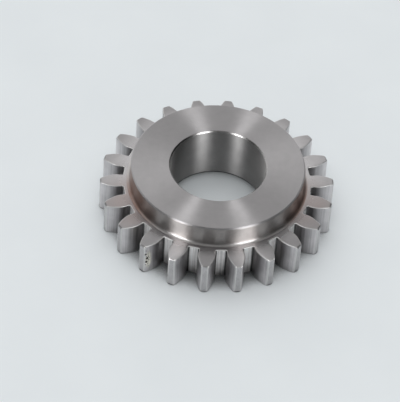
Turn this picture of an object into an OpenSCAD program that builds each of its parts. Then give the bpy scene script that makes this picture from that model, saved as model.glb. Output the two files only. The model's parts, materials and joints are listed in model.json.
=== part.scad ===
// Spur idler gear turned from one piece of steel, with form-cut teeth, in millimetres.
// The bore axis is +Z, the plain face lies on Z = 0 and one tooth points along +X.

/* [Teeth] */
// Number of teeth
teeth = 22; // [22:1:60]
// Module: pitch diameter over the number of teeth, here that of 12 teeth to the inch
tooth_module = 2.1167; // [2.1:0.0001:3.2]
// Pressure angle of the flanks, in degrees
pressure_angle = 20; // [20:0.5:25]
// Height of a tooth above the pitch circle, in modules
addendum = 1; // [0.8:0.05:1]
// Depth of a gap below the pitch circle, in modules
dedendum = 1.35; // [1.15:0.01:1.37]
// Radius of the fillet in each corner of a gap's flat root
root_fillet = 0.25; // [0.1:0.05:0.5]
// How much thinner than half a pitch each tooth is, so that it runs free in mesh
backlash = 0.1; // [0:0.01:0.25]
// Width of the broken corner along each side of a tooth's tip
tip_break = 0.2; // [0.05:0.01:0.28]

/* [Rim] */
// Width of the toothed rim, along the axis
face_width = 7.94; // [4:0.01:16]
// Chamfer where the outside diameter meets the two faces of the rim
rim_chamfer = 0.3; // [0.1:0.05:0.6]

/* [Hub] */
// Diameter of the hub that stands out of one face
hub_d = 37.7; // [28:0.1:39]
// Height of the hub above the face of the rim
hub_rise = 4.76; // [2.4:0.01:12]
// Chamfer round the top of the hub
hub_chamfer = 0.3; // [0.1:0.05:0.8]
// Radius of the fillet at the foot of the hub
foot_fillet = 0.8; // [0.2:0.05:1.4]

/* [Bore] */
// Diameter of the bore
bore_d = 20.64; // [8:0.01:25]
// Chamfer at both ends of the bore
bore_chamfer = 0.33; // [0.1:0.01:1]

/* [Hidden] */
$fn = 96;

// Radii of the gear's circles
pitch_r = teeth * tooth_module / 2;
base_r = pitch_r * cos(pressure_angle);
tip_r = pitch_r + addendum * tooth_module;
root_r = pitch_r - dedendum * tooth_module;
pitch_angle = 360 / teeth;

// Radii and heights of the turned blank
bore_r = bore_d / 2;
hub_r = hub_d / 2;
gear_height = face_width + hub_rise;

// Straight steps that stand for the curves of one side of a gap
fillet_steps = 5;
flank_steps = 11;
// How far the gap cutter reaches past the blank
overcut = 1;

steel = [0.60, 0.59, 0.58];

// A point given by its distance from the axis and its angle from +X
function polar(r, angle) = r * [cos(angle), sin(angle)];

// The involute function of an angle, in degrees
function involute(angle) = tan(angle) * 180 / PI - angle;

// The angle between a flank and the line from the axis, at distance r. It is nothing
// inside the base circle, where the flank runs straight towards the axis.
function flank_lean(r) = acos(min(1, base_r / r));

// Half the angle across a gap, where its flanks lie at distance r from the axis
function half_gap(r) =
    90 / teeth
    + backlash / pitch_r * 90 / PI
    - involute(pressure_angle)
    + involute(flank_lean(r));

// One side of a gap that is centred on +X, from the corner of its root outwards. The
// fillet touches the root circle and then the flank, which it meets at distance foot_r.
function gap_side() =
    let (
        lean = flank_lean(root_r + root_fillet),
        drop = root_fillet * sin(lean),
        foot_r = sqrt((root_r + root_fillet) ^ 2 - root_fillet ^ 2 + drop ^ 2) - drop,
        last_turn = half_gap(foot_r) + lean + 90,
        centre = polar(foot_r, half_gap(foot_r)) - polar(root_fillet, last_turn),
        first_turn = atan2(centre.y, centre.x) + 180,
        flank_end = tip_r - tip_break,
        tip_angle = half_gap(flank_end) + tip_break / tip_r * 180 / PI
    )
    [
        for (i = [0 : fillet_steps])
            centre + polar(root_fillet, first_turn + (last_turn - first_turn) * i / fillet_steps),
        for (i = [1 : flank_steps])
            let (r = foot_r + (flank_end - foot_r) * i / flank_steps)
            polar(r, half_gap(r)),
        polar(tip_r, tip_angle),
        polar(tip_r + overcut, tip_angle)
    ];

// The whole outline of a gap: one side, and the same side mirrored
function gap_outline() =
    let (side = gap_side(), last = len(side) - 1)
    concat(side, [for (i = [last : -1 : 0]) [side[i].x, -side[i].y]]);

// Half of the blank's section, drawn with the radius along x and the height along y
module blank_section() {
    polygon([
        [bore_r + bore_chamfer, 0],
        [tip_r - rim_chamfer, 0],
        [tip_r, rim_chamfer],
        [tip_r, face_width - rim_chamfer],
        [tip_r - rim_chamfer, face_width],
        [hub_r, face_width],
        [hub_r, gear_height - hub_chamfer],
        [hub_r - hub_chamfer, gear_height],
        [bore_r + bore_chamfer, gear_height],
        [bore_r, gear_height - bore_chamfer],
        [bore_r, bore_chamfer]
    ]);
    foot_section();
}

// The fillet between the hub and the face of the rim
module foot_section() {
    translate([hub_r, face_width])
        difference() {
            square(foot_fillet);
            translate([foot_fillet, foot_fillet])
                circle(foot_fillet);
        }
}

// The space between two teeth, cut right through the rim
module tooth_gap() {
    translate([0, 0, -overcut])
        linear_extrude(face_width + 2 * overcut)
            polygon(gap_outline());
}

// The gear: a turned and bored blank with a gap cut between each two teeth
module idler_gear() {
    color(steel)
        difference() {
            rotate_extrude()
                blank_section();
            for (gap = [0 : teeth - 1])
                rotate((gap + 0.5) * pitch_angle)
                    tooth_gap();
        }
}

idler_gear();
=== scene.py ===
import json
import math

import bmesh
import bpy
from mathutils import Matrix, Vector, noise
from mathutils.bvhtree import BVHTree


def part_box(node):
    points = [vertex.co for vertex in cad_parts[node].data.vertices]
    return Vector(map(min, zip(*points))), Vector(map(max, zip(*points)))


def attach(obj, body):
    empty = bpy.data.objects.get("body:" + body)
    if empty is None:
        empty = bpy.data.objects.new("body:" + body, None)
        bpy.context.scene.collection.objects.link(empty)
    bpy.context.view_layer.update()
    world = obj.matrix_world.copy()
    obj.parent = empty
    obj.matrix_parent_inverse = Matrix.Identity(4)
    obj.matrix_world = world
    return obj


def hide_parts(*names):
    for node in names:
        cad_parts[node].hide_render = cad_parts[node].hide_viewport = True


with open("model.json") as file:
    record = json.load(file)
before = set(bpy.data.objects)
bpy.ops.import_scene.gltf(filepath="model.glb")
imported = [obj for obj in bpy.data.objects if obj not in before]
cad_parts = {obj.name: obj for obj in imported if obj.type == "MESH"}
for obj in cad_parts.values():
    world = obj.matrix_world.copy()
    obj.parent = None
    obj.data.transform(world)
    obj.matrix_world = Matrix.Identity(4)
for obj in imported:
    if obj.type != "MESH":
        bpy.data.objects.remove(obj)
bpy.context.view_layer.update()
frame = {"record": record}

# The gear blank. It is turned from one bar of steel: a flat rim, a raised hub on one side with a
# small fillet at its foot, and a plain bore with a chamfer at each end.
MM = 0.001
rim_width = 7.94 * MM
hub_r = 18.85 * MM
hub_chamfer = 0.3 * MM
foot_fillet = 0.8 * MM
foot_steps = 8
bore = next(m["dims"] for m in frame["record"]["mounts"] if m["name"] == "bore")
bore_r = bore["r_mm"] * MM
gear_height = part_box("idler_gear")[1].z
bore_chamfer = (gear_height - bore["length_mm"] * MM) / 2
edge_round = 0.06 * MM
edge_steps = 3


def arc(centre, radius, start, stop, steps):
    """Points along an arc in the section, which has the radius along x and the height along y."""
    angles = [math.radians(start + (stop - start) * i / steps) for i in range(steps + 1)]
    return [(centre[0] + radius * math.cos(a), centre[1] + radius * math.sin(a)) for a in angles]


def rounded(before, corner, after):
    """The corner of a section with its sharp edge taken off, as a file leaves it."""
    before, corner, after = Vector(before), Vector(corner), Vector(after)
    start = corner + (before - corner).normalized() * edge_round
    stop = corner + (after - corner).normalized() * edge_round
    points = []
    for i in range(edge_steps + 1):
        t = i / edge_steps
        points.append(tuple(start.lerp(corner, t).lerp(corner.lerp(stop, t), t)))
    return points


def blank_section():
    """The turned part of the section, from the foot of the hub over the top and down the bore."""
    foot = (hub_r + foot_fillet, rim_width + foot_fillet)
    corners = [
        (hub_r, foot[1]),
        (hub_r, gear_height - hub_chamfer),
        (hub_r - hub_chamfer, gear_height),
        (bore_r + bore_chamfer, gear_height),
        (bore_r, gear_height - bore_chamfer),
        (bore_r, bore_chamfer),
        (bore_r + bore_chamfer, 0),
        (hub_r, 0),
    ]
    points = arc(foot, foot_fillet, start=270, stop=180, steps=foot_steps)
    for before, corner, after in zip(corners, corners[1:], corners[2:]):
        points += rounded(before, corner, after)
    return points


# The teeth. A form cutter has milled each gap right through the rim: involute flanks, which run
# straight towards the axis below the base circle, and a flat root with a small fillet in each corner.
teeth = 22
module = 2.1166 * MM
pressure_angle = math.radians(20)
dedendum = 1.35 * module
backlash = 0.1 * MM
root_fillet = 0.3 * MM
tip_round = 0.3 * MM
rim_chamfer = 0.3 * MM
face_edge = 0.17 * MM
pitch_r = teeth * module / 2
base_r = pitch_r * math.cos(pressure_angle)
tip_r = pitch_r + module
root_r = pitch_r - dedendum
half_pitch = math.pi / teeth
# Into how many steps each part of a tooth's outline and of its edges is divided
root_steps = 3
fillet_steps = 5
flank_steps = 12
corner_steps = 4
across_steps = 4
face_edge_steps = 4


def polar(r, angle):
    """The point at distance r from the axis and at this angle round from +X."""
    return Vector((r * math.cos(angle), r * math.sin(angle)))


def involute(angle):
    return math.tan(angle) - angle


def half_tooth(r):
    """Half the angle across a tooth, at distance r from the axis."""
    free = backlash / 2 / pitch_r
    lean = math.acos(min(1, base_r / r))
    return half_pitch / 2 - free + involute(pressure_angle) - involute(lean)


def tooth_side():
    """One side of a tooth, from the middle of the gap: flat root, fillet, and flank up to the tip."""
    centre_r = root_r + root_fillet
    foot_angle = half_tooth(base_r)
    centre_angle = foot_angle + math.asin(root_fillet / centre_r)
    centre = polar(centre_r, centre_angle)
    corner = polar(root_r, centre_angle)
    middle = polar(root_r * math.cos(half_pitch - centre_angle), half_pitch)
    points = [middle.lerp(corner, i / root_steps) for i in range(root_steps)]
    first_turn, last_turn = centre_angle + math.pi, foot_angle + math.pi * 1.5
    for i in range(fillet_steps + 1):
        turn = first_turn + (last_turn - first_turn) * i / fillet_steps
        points.append(centre + polar(root_fillet, turn))
    flank_foot = points[-1].length
    for i in range(1, flank_steps + 1):
        r = flank_foot + (tip_r - flank_foot) * i / flank_steps
        points.append(polar(r, half_tooth(r)))
    return points


side = tooth_side()
ends = [side[0] * 2 - side[1]] + side + [side[-1] * 2 - side[-2]]
outward = [(c - a).orthogonal().normalized() for a, c in zip(ends, ends[2:])]
moved_in = [p - n * tip_round for p, n in zip(side, outward)]
flank_end = next(i for i, p in enumerate(moved_in) if p.length >= tip_r - tip_round)


def tip_corner():
    """The centre of the round at the tip's corner, and the way from it straight out of the flank."""
    before, after = moved_in[flank_end - 1], moved_in[flank_end]
    part = (tip_r - tip_round - before.length) / (after.length - before.length)
    way_out = outward[flank_end - 1].lerp(outward[flank_end], part).normalized()
    return before.lerp(after, part), way_out


def half_outline(inset):
    """Half of a tooth's outline, moved into the metal by inset, from a gap's middle to the tip's."""
    points = [p - n * inset for p, n in zip(side[:flank_end], outward)]
    centre, way_out = tip_corner()
    for i in range(corner_steps + 1):
        turned = way_out.lerp(centre.normalized(), i / corner_steps).normalized()
        points.append(centre + turned * (tip_round - inset))
    tip_end = math.atan2(points[-1].y, points[-1].x)
    for i in range(1, across_steps + 1):
        points.append(polar(tip_r - inset, tip_end * (1 - i / across_steps)))
    return points


def outline(inset):
    """A whole tooth's outline, from the middle of one gap to the middle of the next."""
    half = half_outline(inset)
    return [Vector((p.x, -p.y)) for p in half] + half[-2::-1]


def chamfered(points, depth):
    """Points this deep below a face of the rim, held inside the turned chamfer at the tips."""
    limit = tip_r - max(rim_chamfer - depth, 0)
    return [p * min(1, limit / p.length) for p in points]


class Share:
    """The share of the gear that belongs to one tooth, as a mesh in the making."""

    def __init__(self):
        self.mesh = bmesh.new()
        self.finish = self.mesh.faces.layers.int.new("finish")

    def ring(self, points, z):
        """A row of corners at one height."""
        return [self.mesh.verts.new((p[0], p[1], z)) for p in points]

    def strip(self, low, high, finish):
        """Faces between two rows, with one finish for all of them or a list of one for each."""
        for i in range(len(low) - 1):
            face = self.mesh.faces.new((low[i], low[i + 1], high[i + 1], high[i]))
            face[self.finish] = finish[i] if isinstance(finish, list) else finish
            face.smooth = True


# Which finish a face takes, by its place in the list of finishes further down
FACED, RIM, WALL, BORED, EASED, ROOT, FLANK, BROKEN, TIP, SHADED_CORNER, LIP, FOOT = range(12)
# The foot of the hub has a finish of its own over this much of its fillet
foot_from = hub_r + foot_fillet * 0.15
foot_to = hub_r + foot_fillet * 0.99
share = Share()
flank_start = root_steps + fillet_steps
last = len(outline(0)) - 1
tip_start = last // 2 - across_steps


def side_of_tooth(i, tall):
    """The finish of one step of the outline: down the tooth, or where its edge is broken."""
    step = min(i, last - 1 - i)
    if step >= tip_start:
        return TIP if tall else LIP
    if not tall or step >= tip_start - corner_steps:
        return BROKEN
    if step < root_steps:
        return ROOT
    return SHADED_CORNER if step < flank_start - 1 else FLANK


def rim_face(z, edge, upwards):
    """One face of the rim, in rungs across the tooth. Returns the line where the tooth stands on it."""
    rows = []
    for i in range(flank_start, tip_start):
        right = edge[last - i].co
        span = math.atan2(right.y, right.x)
        rung = [polar(right.xy.length, span * (j / across_steps - 1)) for j in range(1, 2 * across_steps)]
        rows.append([edge[i]] + share.ring(rung, z) + [edge[last - i]])
    rows.append(edge[tip_start : last + 1 - tip_start])
    for inner, outer in zip(rows, rows[1:]):
        share.strip(*((outer, inner) if upwards else (inner, outer)), RIM)
    return edge[:flank_start] + rows[0] + edge[last + 1 - flank_start :]


def finish_at(r, z):
    """The finish of the turned surface just before this point of the section."""
    if r > foot_to or z <= 0:
        return RIM
    if r > foot_from:
        return FOOT
    if r > hub_r - edge_round:
        return WALL
    if r > hub_r - hub_chamfer + edge_round:
        return EASED
    if r > bore_r + bore_chamfer - edge_round:
        return FACED
    return EASED if r > bore_r + edge_round / 2 else BORED


# The walls of the tooth rise from the rounded edge of one face of the rim to that of the other.
# The two faces join them, and the turned section closes the share along the hub and the bore.
breaks = [math.pi / 2 * i / face_edge_steps for i in range(face_edge_steps + 1)]
insets = [face_edge * (1 - math.cos(a)) for a in breaks]
drops = [face_edge * (1 - math.sin(a)) for a in breaks]
levels = list(zip(reversed(insets), reversed(drops))) + [(0, rim_chamfer)]
walls = [share.ring(chamfered(outline(i), d), d) for i, d in levels]
walls += [share.ring(chamfered(outline(i), d), rim_width - d) for i, d in reversed(levels)]
for step, (low, high) in enumerate(zip(walls, walls[1:])):
    tall = face_edge_steps <= step <= face_edge_steps + 2
    share.strip(low, high, [side_of_tooth(i, tall) for i in range(last)])
under = rim_face(0, walls[0], False)
over = rim_face(rim_width, walls[-1], True)
spokes = [math.atan2(v.co.y, v.co.x) for v in over]
spokes[0], spokes[-1] = -half_pitch, half_pitch
ring = over
for r, z in blank_section():
    turned = share.ring([polar(r, a) for a in spokes], z)
    share.strip(ring, turned, finish_at(r, z))
    ring = turned
share.strip(ring, under, RIM)
tooth_share = bpy.data.meshes.new("tooth_share")
share.mesh.to_mesh(tooth_share)
share.mesh.free()

# The finishes. Bare steel: the blank has fine tool marks that run round the axis, the bore is
# smoother, and the cutter has left fine streaks along the teeth. A painted brown reflection lies round
# the foot of the hub at two sides, and painted shade darkens the flanks towards the root and fills the
# corners of the gaps.

# How slowly tool marks change along their run, and how they and a cloudiness vary the steel's tone
round_drift = 0.03
axis_drift = 0.02
clouds_per_metre = 350
band_share = 0.6
cloud_share = 0.4
blend_low, blend_high = 0.38, 0.62
# Where the painted brown reflection lies and how far it reaches, and how patchy it and the
# painted shade on the flanks are
brown_reflection_spots = [(-18.1 * MM, -6.6 * MM, 9.0 * MM), (17.9 * MM, -6.8 * MM, 10.6 * MM)]
brown_reflection_reach = 10.5 * MM
brown_reflection_core = brown_reflection_reach * 0.3
brown_reflection_colour = (0.19, 0.08, 0.045, 1)
brown_reflection_patchy = 0.5
# Painted shade on the flanks: the near-black it darkens to towards the root, and how patchy it is
painted_shade_black = (0.09, 0.085, 0.087, 1)
painted_shade_patchy = 0.3


def add(tree, kind, settings=None, **sockets):
    """A new node. Each socket takes a number, a colour or another node's output."""
    made = tree.nodes.new(kind)
    for key, value in (settings or {}).items():
        setattr(made, key, value)
    for key, value in sockets.items():
        index = key.lstrip("_")
        socket = made.inputs[int(index) if index.isdigit() else key.replace("_", " ")]
        if isinstance(value, bpy.types.NodeSocket):
            tree.links.new(value, socket)
        else:
            socket.default_value = value
    return made


def maths(tree, operation, a, b=0.0, c=0.0):
    return add(tree, "ShaderNodeMath", {"operation": operation}, _0=a, _1=b, _2=c).outputs[0]


def vector(tree, operation, a, b=(0, 0, 0)):
    made = add(tree, "ShaderNodeVectorMath", {"operation": operation}, _0=a, _1=b)
    return made.outputs["Value" if operation in ("LENGTH", "DOT_PRODUCT") else "Vector"]


def spread(tree, value, low, high, start=0.0, stop=1.0, way="LINEAR"):
    """Stretches a value that runs from start to stop, so that it runs from low to high."""
    made = add(tree, "ShaderNodeMapRange", {"interpolation_type": way}, Value=value,
               From_Min=start, From_Max=stop, To_Min=low, To_Max=high)
    return made.outputs["Result"]


def mixed(tree, amount, first, second):
    """The first colour, with this amount of the second in it."""
    made = add(tree, "ShaderNodeMix", {"data_type": "RGBA"}, _0=amount, _6=first, _7=second)
    return made.outputs[2]


def streaks(tree, across, drift, fine, **settings):
    """Noise that is fine across the tool marks and drawn out along them."""
    made = add(tree, "ShaderNodeTexNoise", {"noise_dimensions": "4D"}, Vector=across, Scale=fine,
               W=maths(tree, "MULTIPLY", drift, fine), **settings)
    return made.outputs["Fac"]


def steel(name, groove, tone, rough, stretch, wide, deep, haze=0.0, contrast=0.07, brown_reflection_strength=0.0, painted_shade=0.0):
    """Bare steel whose tool marks, so many mm wide and deep, run round the axis or along it.

    Stretch draws the highlights out across the marks, and haze is roughness that is added from the
    hub to the tips. The last two numbers say how strong the painted brown reflection round the hub's
    foot and the painted shade towards the root are."""
    material = bpy.data.materials.new(name)
    material.use_nodes = True
    tree = material.node_tree
    shader = tree.nodes["Principled BSDF"]
    place = add(tree, "ShaderNodeTexCoord").outputs["Object"]
    x, y, z = add(tree, "ShaderNodeSeparateXYZ", None, Vector=place).outputs
    flat = vector(tree, "MULTIPLY", place, (1, 1, 0))
    radius = vector(tree, "LENGTH", flat)
    if groove == "round":
        run = vector(tree, "CROSS_PRODUCT", (0, 0, 1), flat)
        slow_x = maths(tree, "MULTIPLY", x, round_drift)
        across = add(tree, "ShaderNodeCombineXYZ", None, X=radius, Y=z, Z=slow_x).outputs[0]
        drift = maths(tree, "MULTIPLY", y, round_drift)
    else:
        run = (0, 0, 1)
        across = vector(tree, "MULTIPLY", place, (1, 1, axis_drift))
        drift = 0.0
    fine = 1 / (wide * MM)
    marks = streaks(tree, across, drift, fine, Detail=3, Roughness=0.6)
    bands = streaks(tree, across, drift, fine / 2, Detail=2)
    cloud = add(tree, "ShaderNodeTexNoise", None, Vector=place, Scale=clouds_per_metre, Detail=5)
    cloud = cloud.outputs["Fac"]
    banding = maths(tree, "MULTIPLY", bands, band_share)
    clouding = maths(tree, "MULTIPLY", cloud, cloud_share)
    blend = spread(tree, maths(tree, "ADD", banding, clouding), 0.0, 1.0, blend_low, blend_high)
    dark = [c * (1 - contrast) for c in tone]
    light = [c * (1 + contrast) for c in tone]
    colour = mixed(tree, blend, (*dark, 1), (*light, 1))
    # A painted brown reflection, round the foot of the hub at two sides
    brown_reflection = 0.0
    for spot in brown_reflection_spots:
        away = vector(tree, "LENGTH", vector(tree, "SUBTRACT", place, spot))
        patch = spread(tree, away, brown_reflection_strength, 0.0, brown_reflection_core, brown_reflection_reach, "SMOOTHSTEP")
        brown_reflection = maths(tree, "MAXIMUM", brown_reflection, patch)
    brown_reflection = maths(tree, "MULTIPLY", brown_reflection, spread(tree, cloud, 1 - brown_reflection_patchy, 1 + brown_reflection_patchy))
    colour = mixed(tree, brown_reflection, colour, brown_reflection_colour)
    # Painted shade: the steel is darkened towards the root of the tooth
    painted_shade_amount = spread(tree, radius, painted_shade, 0.0, root_r, tip_r)
    painted_shade_amount = maths(tree, "MULTIPLY", painted_shade_amount, spread(tree, cloud, 1 - painted_shade_patchy, 1 + painted_shade_patchy))
    colour = mixed(tree, painted_shade_amount, colour, painted_shade_black)
    tree.links.new(colour, shader.inputs["Base Color"])
    swing = spread(tree, blend, rough * (1 - contrast / 2), rough * (1 + contrast / 2))
    outwards = spread(tree, radius, 0.0, haze, hub_r, tip_r)
    tree.links.new(maths(tree, "ADD", swing, outwards), shader.inputs["Roughness"])
    normal = add(tree, "ShaderNodeNewGeometry").outputs["Normal"]
    tree.links.new(vector(tree, "CROSS_PRODUCT", normal, run), shader.inputs["Tangent"])
    bump = add(tree, "ShaderNodeBump", None, Strength=1.0, Distance=deep * MM, Height=marks)
    tree.links.new(bump.outputs["Normal"], shader.inputs["Normal"])
    shader.inputs["Metallic"].default_value = 1.0
    shader.inputs["Anisotropic"].default_value = stretch
    return material


bare = (0.47, 0.458, 0.463)
bright = (0.60, 0.595, 0.59)
# Some finishes take the painted brown reflection round the hub's foot, and the flanks take painted shade
# towards the root.
finishes = [
    steel("faced steel", "round", bare,
          rough=0.42, stretch=1.0, wide=0.22, deep=0.0012, contrast=0.10),
    steel("rim face", "round", bare,
          rough=0.20, stretch=1.0, wide=0.22, deep=0.0012, haze=0.22, contrast=0.12, brown_reflection_strength=0.3),
    steel("hub wall", "round", (0.40, 0.375, 0.365),
          rough=0.38, stretch=1.0, wide=0.14, deep=0.0008, contrast=0.22, brown_reflection_strength=0.62),
    steel("bored steel", "round", (0.425, 0.42, 0.418),
          rough=0.56, stretch=0.97, wide=0.20, deep=0.0008, contrast=0.12),
    steel("turned chamfer", "round", bright,
          rough=0.27, stretch=0.6, wide=0.10, deep=0.0008),
    steel("root", "axis", (0.86, 0.835, 0.825),
          rough=0.45, stretch=0.4, wide=0.16, deep=0.010, contrast=0.28),
    steel("flank", "axis", (0.68, 0.658, 0.667),
          rough=0.36, stretch=0.6, wide=0.15, deep=0.0035, contrast=0.18, painted_shade=0.75),
    steel("brushed edge", "round", bright,
          rough=0.45, stretch=0.2, wide=0.20, deep=0.0010),
    steel("turned tip", "round", bare,
          rough=0.28, stretch=0.6, wide=0.18, deep=0.0015, contrast=0.12),
    # The fillets in the corners of the gaps are painted nearly black, as painted shade.
    steel("corner of a gap", "axis", (0.13, 0.13, 0.13),
          rough=0.55, stretch=0.0, wide=0.20, deep=0.004, contrast=0.2),
    steel("rim chamfer", "round", (0.30, 0.295, 0.29),
          rough=0.55, stretch=0.2, wide=0.20, deep=0.0015, contrast=0.12),
    steel("hub foot", "round", (0.50, 0.485, 0.48),
          rough=0.32, stretch=0.9, wide=0.14, deep=0.0010, contrast=0.15, brown_reflection_strength=0.68),
]

# The ring of teeth. One tooth's share of the gear is repeated round the bore and its seams are
# welded, and each face takes the finish that it was cut with.
weld = 0.0005 * MM
ring_tree = bpy.data.node_groups.new("ring of teeth", "GeometryNodeTree")
sockets = ring_tree.interface
sockets.new_socket("Geometry", in_out="INPUT", socket_type="NodeSocketGeometry")
count_socket = sockets.new_socket("Teeth", in_out="INPUT", socket_type="NodeSocketInt")
weld_socket = sockets.new_socket("Weld distance", in_out="INPUT", socket_type="NodeSocketFloat")
sockets.new_socket("Geometry", in_out="OUTPUT", socket_type="NodeSocketGeometry")
given = add(ring_tree, "NodeGroupInput").outputs
spots = add(ring_tree, "GeometryNodePoints", None, Count=given["Teeth"]).outputs[0]
number = add(ring_tree, "GeometryNodeInputIndex").outputs[0]
turn = maths(ring_tree, "DIVIDE", maths(ring_tree, "MULTIPLY", number, 2 * math.pi), given["Teeth"])
turned = add(ring_tree, "ShaderNodeCombineXYZ", None, Z=turn).outputs[0]
copies = add(ring_tree, "GeometryNodeInstanceOnPoints", None,
             Points=spots, Instance=given["Geometry"], Rotation=turned).outputs[0]
solid = add(ring_tree, "GeometryNodeRealizeInstances", None, Geometry=copies).outputs[0]
solid = add(ring_tree, "GeometryNodeMergeByDistance", None,
            Geometry=solid, Distance=given["Weld distance"]).outputs[0]
cut_with = add(ring_tree, "GeometryNodeInputNamedAttribute", {"data_type": "INT"}, Name="finish").outputs[0]
same = {"data_type": "INT", "operation": "EQUAL"}
for code, finish in enumerate(finishes):
    chosen = add(ring_tree, "FunctionNodeCompare", same, _2=cut_with, _3=code).outputs[0]
    solid = add(ring_tree, "GeometryNodeSetMaterial", None,
                Geometry=solid, Selection=chosen, Material=finish).outputs[0]
ring_tree.links.new(solid, add(ring_tree, "NodeGroupOutput").inputs[0])


def finished(thing):
    """The plain mesh that an object's modifiers make."""
    return bpy.data.meshes.new_from_object(thing.evaluated_get(bpy.context.evaluated_depsgraph_get()))


gear = bpy.data.objects.new("gear", tooth_share)
bpy.context.scene.collection.objects.link(gear)
repeat = gear.modifiers.new("ring of teeth", "NODES")
repeat.node_group = ring_tree
repeat[count_socket.identifier] = teeth
repeat[weld_socket.identifier] = weld
gear.data = finished(gear)
gear.modifiers.clear()

# The marks of use. Metal has flaked out of one flank in a row of small dark pits, with a pale etched
# patch around them. Other teeth have a few nicks and light scratches, and some tips are chipped.
wear_finishes = [
    steel("etched patch", "axis", (0.66, 0.645, 0.59),
          rough=0.60, stretch=0.0, wide=0.16, deep=0.012, contrast=0.35),
    steel("pit", "axis", (0.045, 0.04, 0.035),
          rough=0.70, stretch=0.0, wide=0.06, deep=0.01),
    steel("scratch", "axis", (0.72, 0.71, 0.70),
          rough=0.34, stretch=0.0, wide=0.10, deep=0.001),
]
for finish in wear_finishes:
    gear.data.materials.append(finish)
slots = len(gear.data.materials)
ETCHED, PIT, SCRATCH = range(slots - len(wear_finishes), slots)
worn = bmesh.new()
worn.from_mesh(gear.data)
# How finely the metal is divided inside a hollow, and how ragged the hollow's outline and floor are
mesh_step = 0.07 * MM
cut_snap = 1e-8
usual_reach = 0.8
ragged_outline, outline_grain = 0.35, 0.2 * MM
ragged_floor, floor_grain = 0.4, 0.1 * MM
bare_lip = 0.1
wall_slope = 2
faces_upwards = 0.7


def press(place, length, width, depth, finish, slant=0.0):
    """Presses a ragged hollow, measured in mm, into the metal nearest to this place.

    Its length runs up a tooth or outwards from the axis, turned by slant."""
    length, width, depth = length * MM, width * MM, depth * MM
    tree = BVHTree.FromBMesh(worn)
    spot, normal = tree.find_nearest(place)[:2]
    along = Vector((0, 0, 1)) if abs(normal.z) < faces_upwards else Vector((*spot.xy, 0))
    across = normal.cross(along).normalized()
    along = Matrix.Rotation(math.radians(slant), 3, normal) @ across.cross(normal)
    across = normal.cross(along)
    worn.faces.ensure_lookup_table()
    near = [worn.faces[i] for i in {hit[2] for hit in tree.find_nearest_range(spot, max(length, width))}]
    area = list({item for f in near for item in (f, *f.edges, *f.verts)})
    for way, half in ((along, length), (across, width)):
        cuts = max(2, round(half / mesh_step))
        for i in range(-cuts, cuts + 1):
            through = spot + way * half * i / cuts
            cut = bmesh.ops.bisect_plane(worn, geom=area, dist=cut_snap, plane_co=through, plane_no=way)
            area = cut["geom"]

    def inside(point):
        """1 in the middle of the hollow, falling to 0 at its ragged outline."""
        away = point - spot
        reach = usual_reach + ragged_outline * noise.noise(point / outline_grain)
        return 1 - math.hypot(away.dot(along) / length, away.dot(across) / width) / reach

    for item in area:
        if isinstance(item, bmesh.types.BMFace) and inside(item.calc_center_median()) > bare_lip:
            item.material_index = finish
    for v in [item for item in area if isinstance(item, bmesh.types.BMVert)]:
        if inside(v.co) > 0:
            bumps = usual_reach + ragged_floor * noise.noise(v.co / floor_grain)
            v.co -= normal * depth * min(1, wall_slope * inside(v.co)) * bumps


def on_flank(tooth, side, r, z):
    """A place on a flank: how many teeth round from +X, which side, and r and z in mm."""
    return Vector((*polar(r * MM, 2 * half_pitch * tooth + side * half_tooth(r * MM)), z * MM))


pitted_tooth, pitted_side = -8, 1
press(on_flank(pitted_tooth, pitted_side, r=24.55, z=3.9), length=3.3, width=0.95, depth=0.004, finish=ETCHED)
pit_length, pit_width, pit_depth = 1.7, 1.3, 0.12
pits = [
    # r, z and size
    (25.15, 5.5, 0.24),
    (24.85, 4.2, 0.30),
    (24.95, 3.2, 0.26),
    (24.45, 3.6, 0.13),
    (25.1, 2.3, 0.13),
    (24.55, 4.7, 0.11),
    (24.7, 2.5, 0.10),
    (24.3, 4.2, 0.09),
    (24.95, 4.8, 0.12),
    (24.5, 1.7, 0.08),
    (25.1, 6.6, 0.09),
]
for r, z, size in pits:
    press(on_flank(pitted_tooth, pitted_side, r, z), size * pit_length, size * pit_width, pit_depth, PIT)
scratch_depth = 0.015
scratches = [
    # tooth, side, r, z, length, width and slant
    (-3, -1, 24.35, 3.8, 0.70, 0.07, 25),
    (-3, -1, 24.55, 3.2, 0.45, 0.06, -30),
    (-3, -1, 24.1, 3.0, 0.35, 0.06, 60),
    (-4, -1, 24.6, 5.2, 0.5, 0.06, 75),
]
for tooth, side, r, z, length, width, slant in scratches:
    press(on_flank(tooth, side, r, z), length, width, scratch_depth, SCRATCH, slant)
chip_depth = 0.07
chips = [
    # angle round from +X, r, z, length, width and slant
    (-120, 20.8, 7.94, 0.34, 0.13, 35),
    (-129.0, 25.35, 7.85, 0.16, 0.10, 0),
    (-116.4, 25.4, 2.6, 0.34, 0.14, 0),
    (-50.0, 25.4, 7.55, 0.12, 0.30, 0),
    (1.0, 25.4, 7.7, 0.20, 0.14, 0),
    (-15.2, 25.4, 7.7, 0.16, 0.14, 0),
    (-33.9, 25.4, 7.6, 0.18, 0.12, 0),
]
for angle, r, z, length, width, slant in chips:
    place = Vector((*polar(r * MM, math.radians(angle)), z * MM))
    press(place, length, width, chip_depth, PIT, slant)
worn.to_mesh(gear.data)
worn.free()
flat_weight = 80
gear.modifiers.new("flat faces stay flat", "WEIGHTED_NORMAL").weight = flat_weight
gear.data = finished(gear)
gear.modifiers.clear()
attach(gear, "root")
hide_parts("idler_gear")

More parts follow.
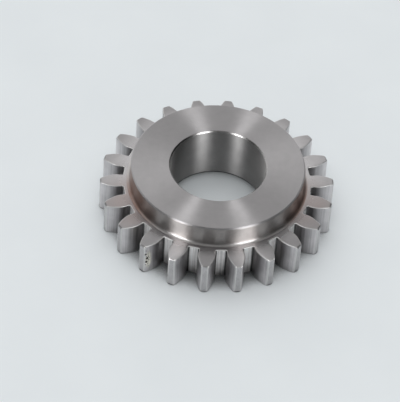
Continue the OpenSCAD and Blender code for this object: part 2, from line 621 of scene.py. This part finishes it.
# The table: pale, faintly blue paper, with nothing else on it. It darkens close to the gear, where
# the metal keeps the light of the room off it.
table_r = 2.5
table_sides = 128
blotches_per_metre = 45
paper_dark = (0.82, 0.865, 0.89, 1)
paper_light = (0.89, 0.935, 0.955, 1)
shade_reach = 4.5 * MM
deepest_shade = 0.10
shut_in, open_enough = 0.22, 0.70
paper = bpy.data.materials.new("pale paper")
paper.use_nodes = True
tree = paper.node_tree
tree.nodes.remove(tree.nodes["Principled BSDF"])
place = add(tree, "ShaderNodeTexCoord").outputs["Object"]
mottle = add(tree, "ShaderNodeTexNoise", None, Vector=place, Scale=blotches_per_metre, Detail=4)
pale = mixed(tree, mottle.outputs["Fac"], paper_dark, paper_light)
openness = add(tree, "ShaderNodeAmbientOcclusion", {"samples": 8}, Distance=shade_reach).outputs["AO"]
shade = spread(tree, openness, deepest_shade, 1.0, shut_in, open_enough, "SMOOTHSTEP")
paint = add(tree, "ShaderNodeVectorMath", {"operation": "SCALE"}, _0=pale, Scale=shade).outputs[0]
cover = add(tree, "ShaderNodeBsdfDiffuse", None, Color=paint).outputs[0]
tree.links.new(cover, tree.nodes["Material Output"].inputs["Surface"])
sheet = bmesh.new()
bmesh.ops.create_circle(sheet, cap_ends=True, segments=table_sides, radius=table_r)
floor_mesh = bpy.data.meshes.new("table")
sheet.to_mesh(floor_mesh)
sheet.free()
floor = bpy.data.objects.new("table", floor_mesh)
floor.data.materials.append(paper)
bpy.context.scene.collection.objects.link(floor)

# The camera looks down on the gear from the front at about half a right angle. It stands half a
# metre away, with a long lens, and leans a little to one side.
look_down = math.radians(46.36)
turn = math.radians(4.995)
lean = math.radians(3.908)
beside = -0.003345
above = 0.001052
distance = 0.50092
focal_length = 204.54
film_width = 36
lens = bpy.data.cameras.new("camera")
lens.lens = focal_length
lens.sensor_width = film_width
camera = bpy.data.objects.new("camera", lens)
bpy.context.scene.collection.objects.link(camera)
aim = Matrix.Rotation(-turn, 4, "Z") @ Matrix.Rotation(math.pi / 2 - look_down, 4, "X")
aim = aim @ Matrix.Rotation(lean, 4, "Z")
camera.matrix_world = aim @ Matrix.Translation((beside, above, distance))
bpy.context.scene.camera = camera

# The light: one great round diffuser behind and above the gear, which fades out evenly, a fainter
# ceiling, and two soft boxes in front that show only as reflections in the metal. The paper also
# gets an even light from all round, of which bare metal takes nothing.
box_height = 24
box_distance = 0.9
box_tall = 0.70


def direction(angle, height):
    """The unit vector that points this way, in degrees round from +X and up from the table."""
    a, e = math.radians(angle), math.radians(height)
    return Vector((math.cos(a) * math.cos(e), math.sin(a) * math.cos(e), math.sin(e)))


def soft_box(name, angle, width, power):
    """A rectangle of light that faces the gear from this direction."""
    towards = direction(angle, box_height)
    lamp = bpy.data.lights.new(name, "AREA")
    lamp.shape = "RECTANGLE"
    lamp.size, lamp.size_y, lamp.energy = width, box_tall, power
    box = bpy.data.objects.new(name, lamp)
    bpy.context.scene.collection.objects.link(box)
    box.matrix_world = Matrix.LocRotScale(towards * box_distance, towards.to_track_quat("Z", "Y"), None)
    box.visible_diffuse = False


soft_box("left box", angle=-135, width=0.24, power=3.4)
soft_box("right box", angle=-57, width=0.31, power=3.9)

# How bright the room's lights are, where they lie and between which angles they fade out
back_light = 1.04
back_way = direction(104, 36)
back_edge, back_full = math.cos(math.radians(66)), math.cos(math.radians(14))
ceiling = 0.46
ceiling_edge, ceiling_full = math.sin(math.radians(40)), math.sin(math.radians(75))
even_light = 0.36
ceiling_on_paper = 0.8
world = bpy.data.worlds.new("room")
world.use_nodes = True
bpy.context.scene.world = world
tree = world.node_tree
ahead = add(tree, "ShaderNodeTexCoord").outputs["Generated"]
facing = vector(tree, "DOT_PRODUCT", ahead, back_way)
diffuser = spread(tree, facing, 0.0, back_light, back_edge, back_full, "SMOOTHSTEP")
upwards = add(tree, "ShaderNodeSeparateXYZ", None, Vector=ahead).outputs["Z"]
overhead = spread(tree, upwards, 0.0, ceiling, ceiling_edge, ceiling_full, "SMOOTHSTEP")
on_paper = maths(tree, "MULTIPLY_ADD", overhead, ceiling_on_paper, even_light)
on_paper = maths(tree, "MULTIPLY", on_paper, add(tree, "ShaderNodeLightPath").outputs["Is Diffuse Ray"])
room = maths(tree, "ADD", maths(tree, "MAXIMUM", diffuser, overhead), on_paper)
background = tree.nodes["Background"]
tree.links.new(room, background.inputs["Strength"])
background.inputs["Color"].default_value = (1, 1, 1, 1)
bpy.context.scene.view_settings.view_transform = "Standard"
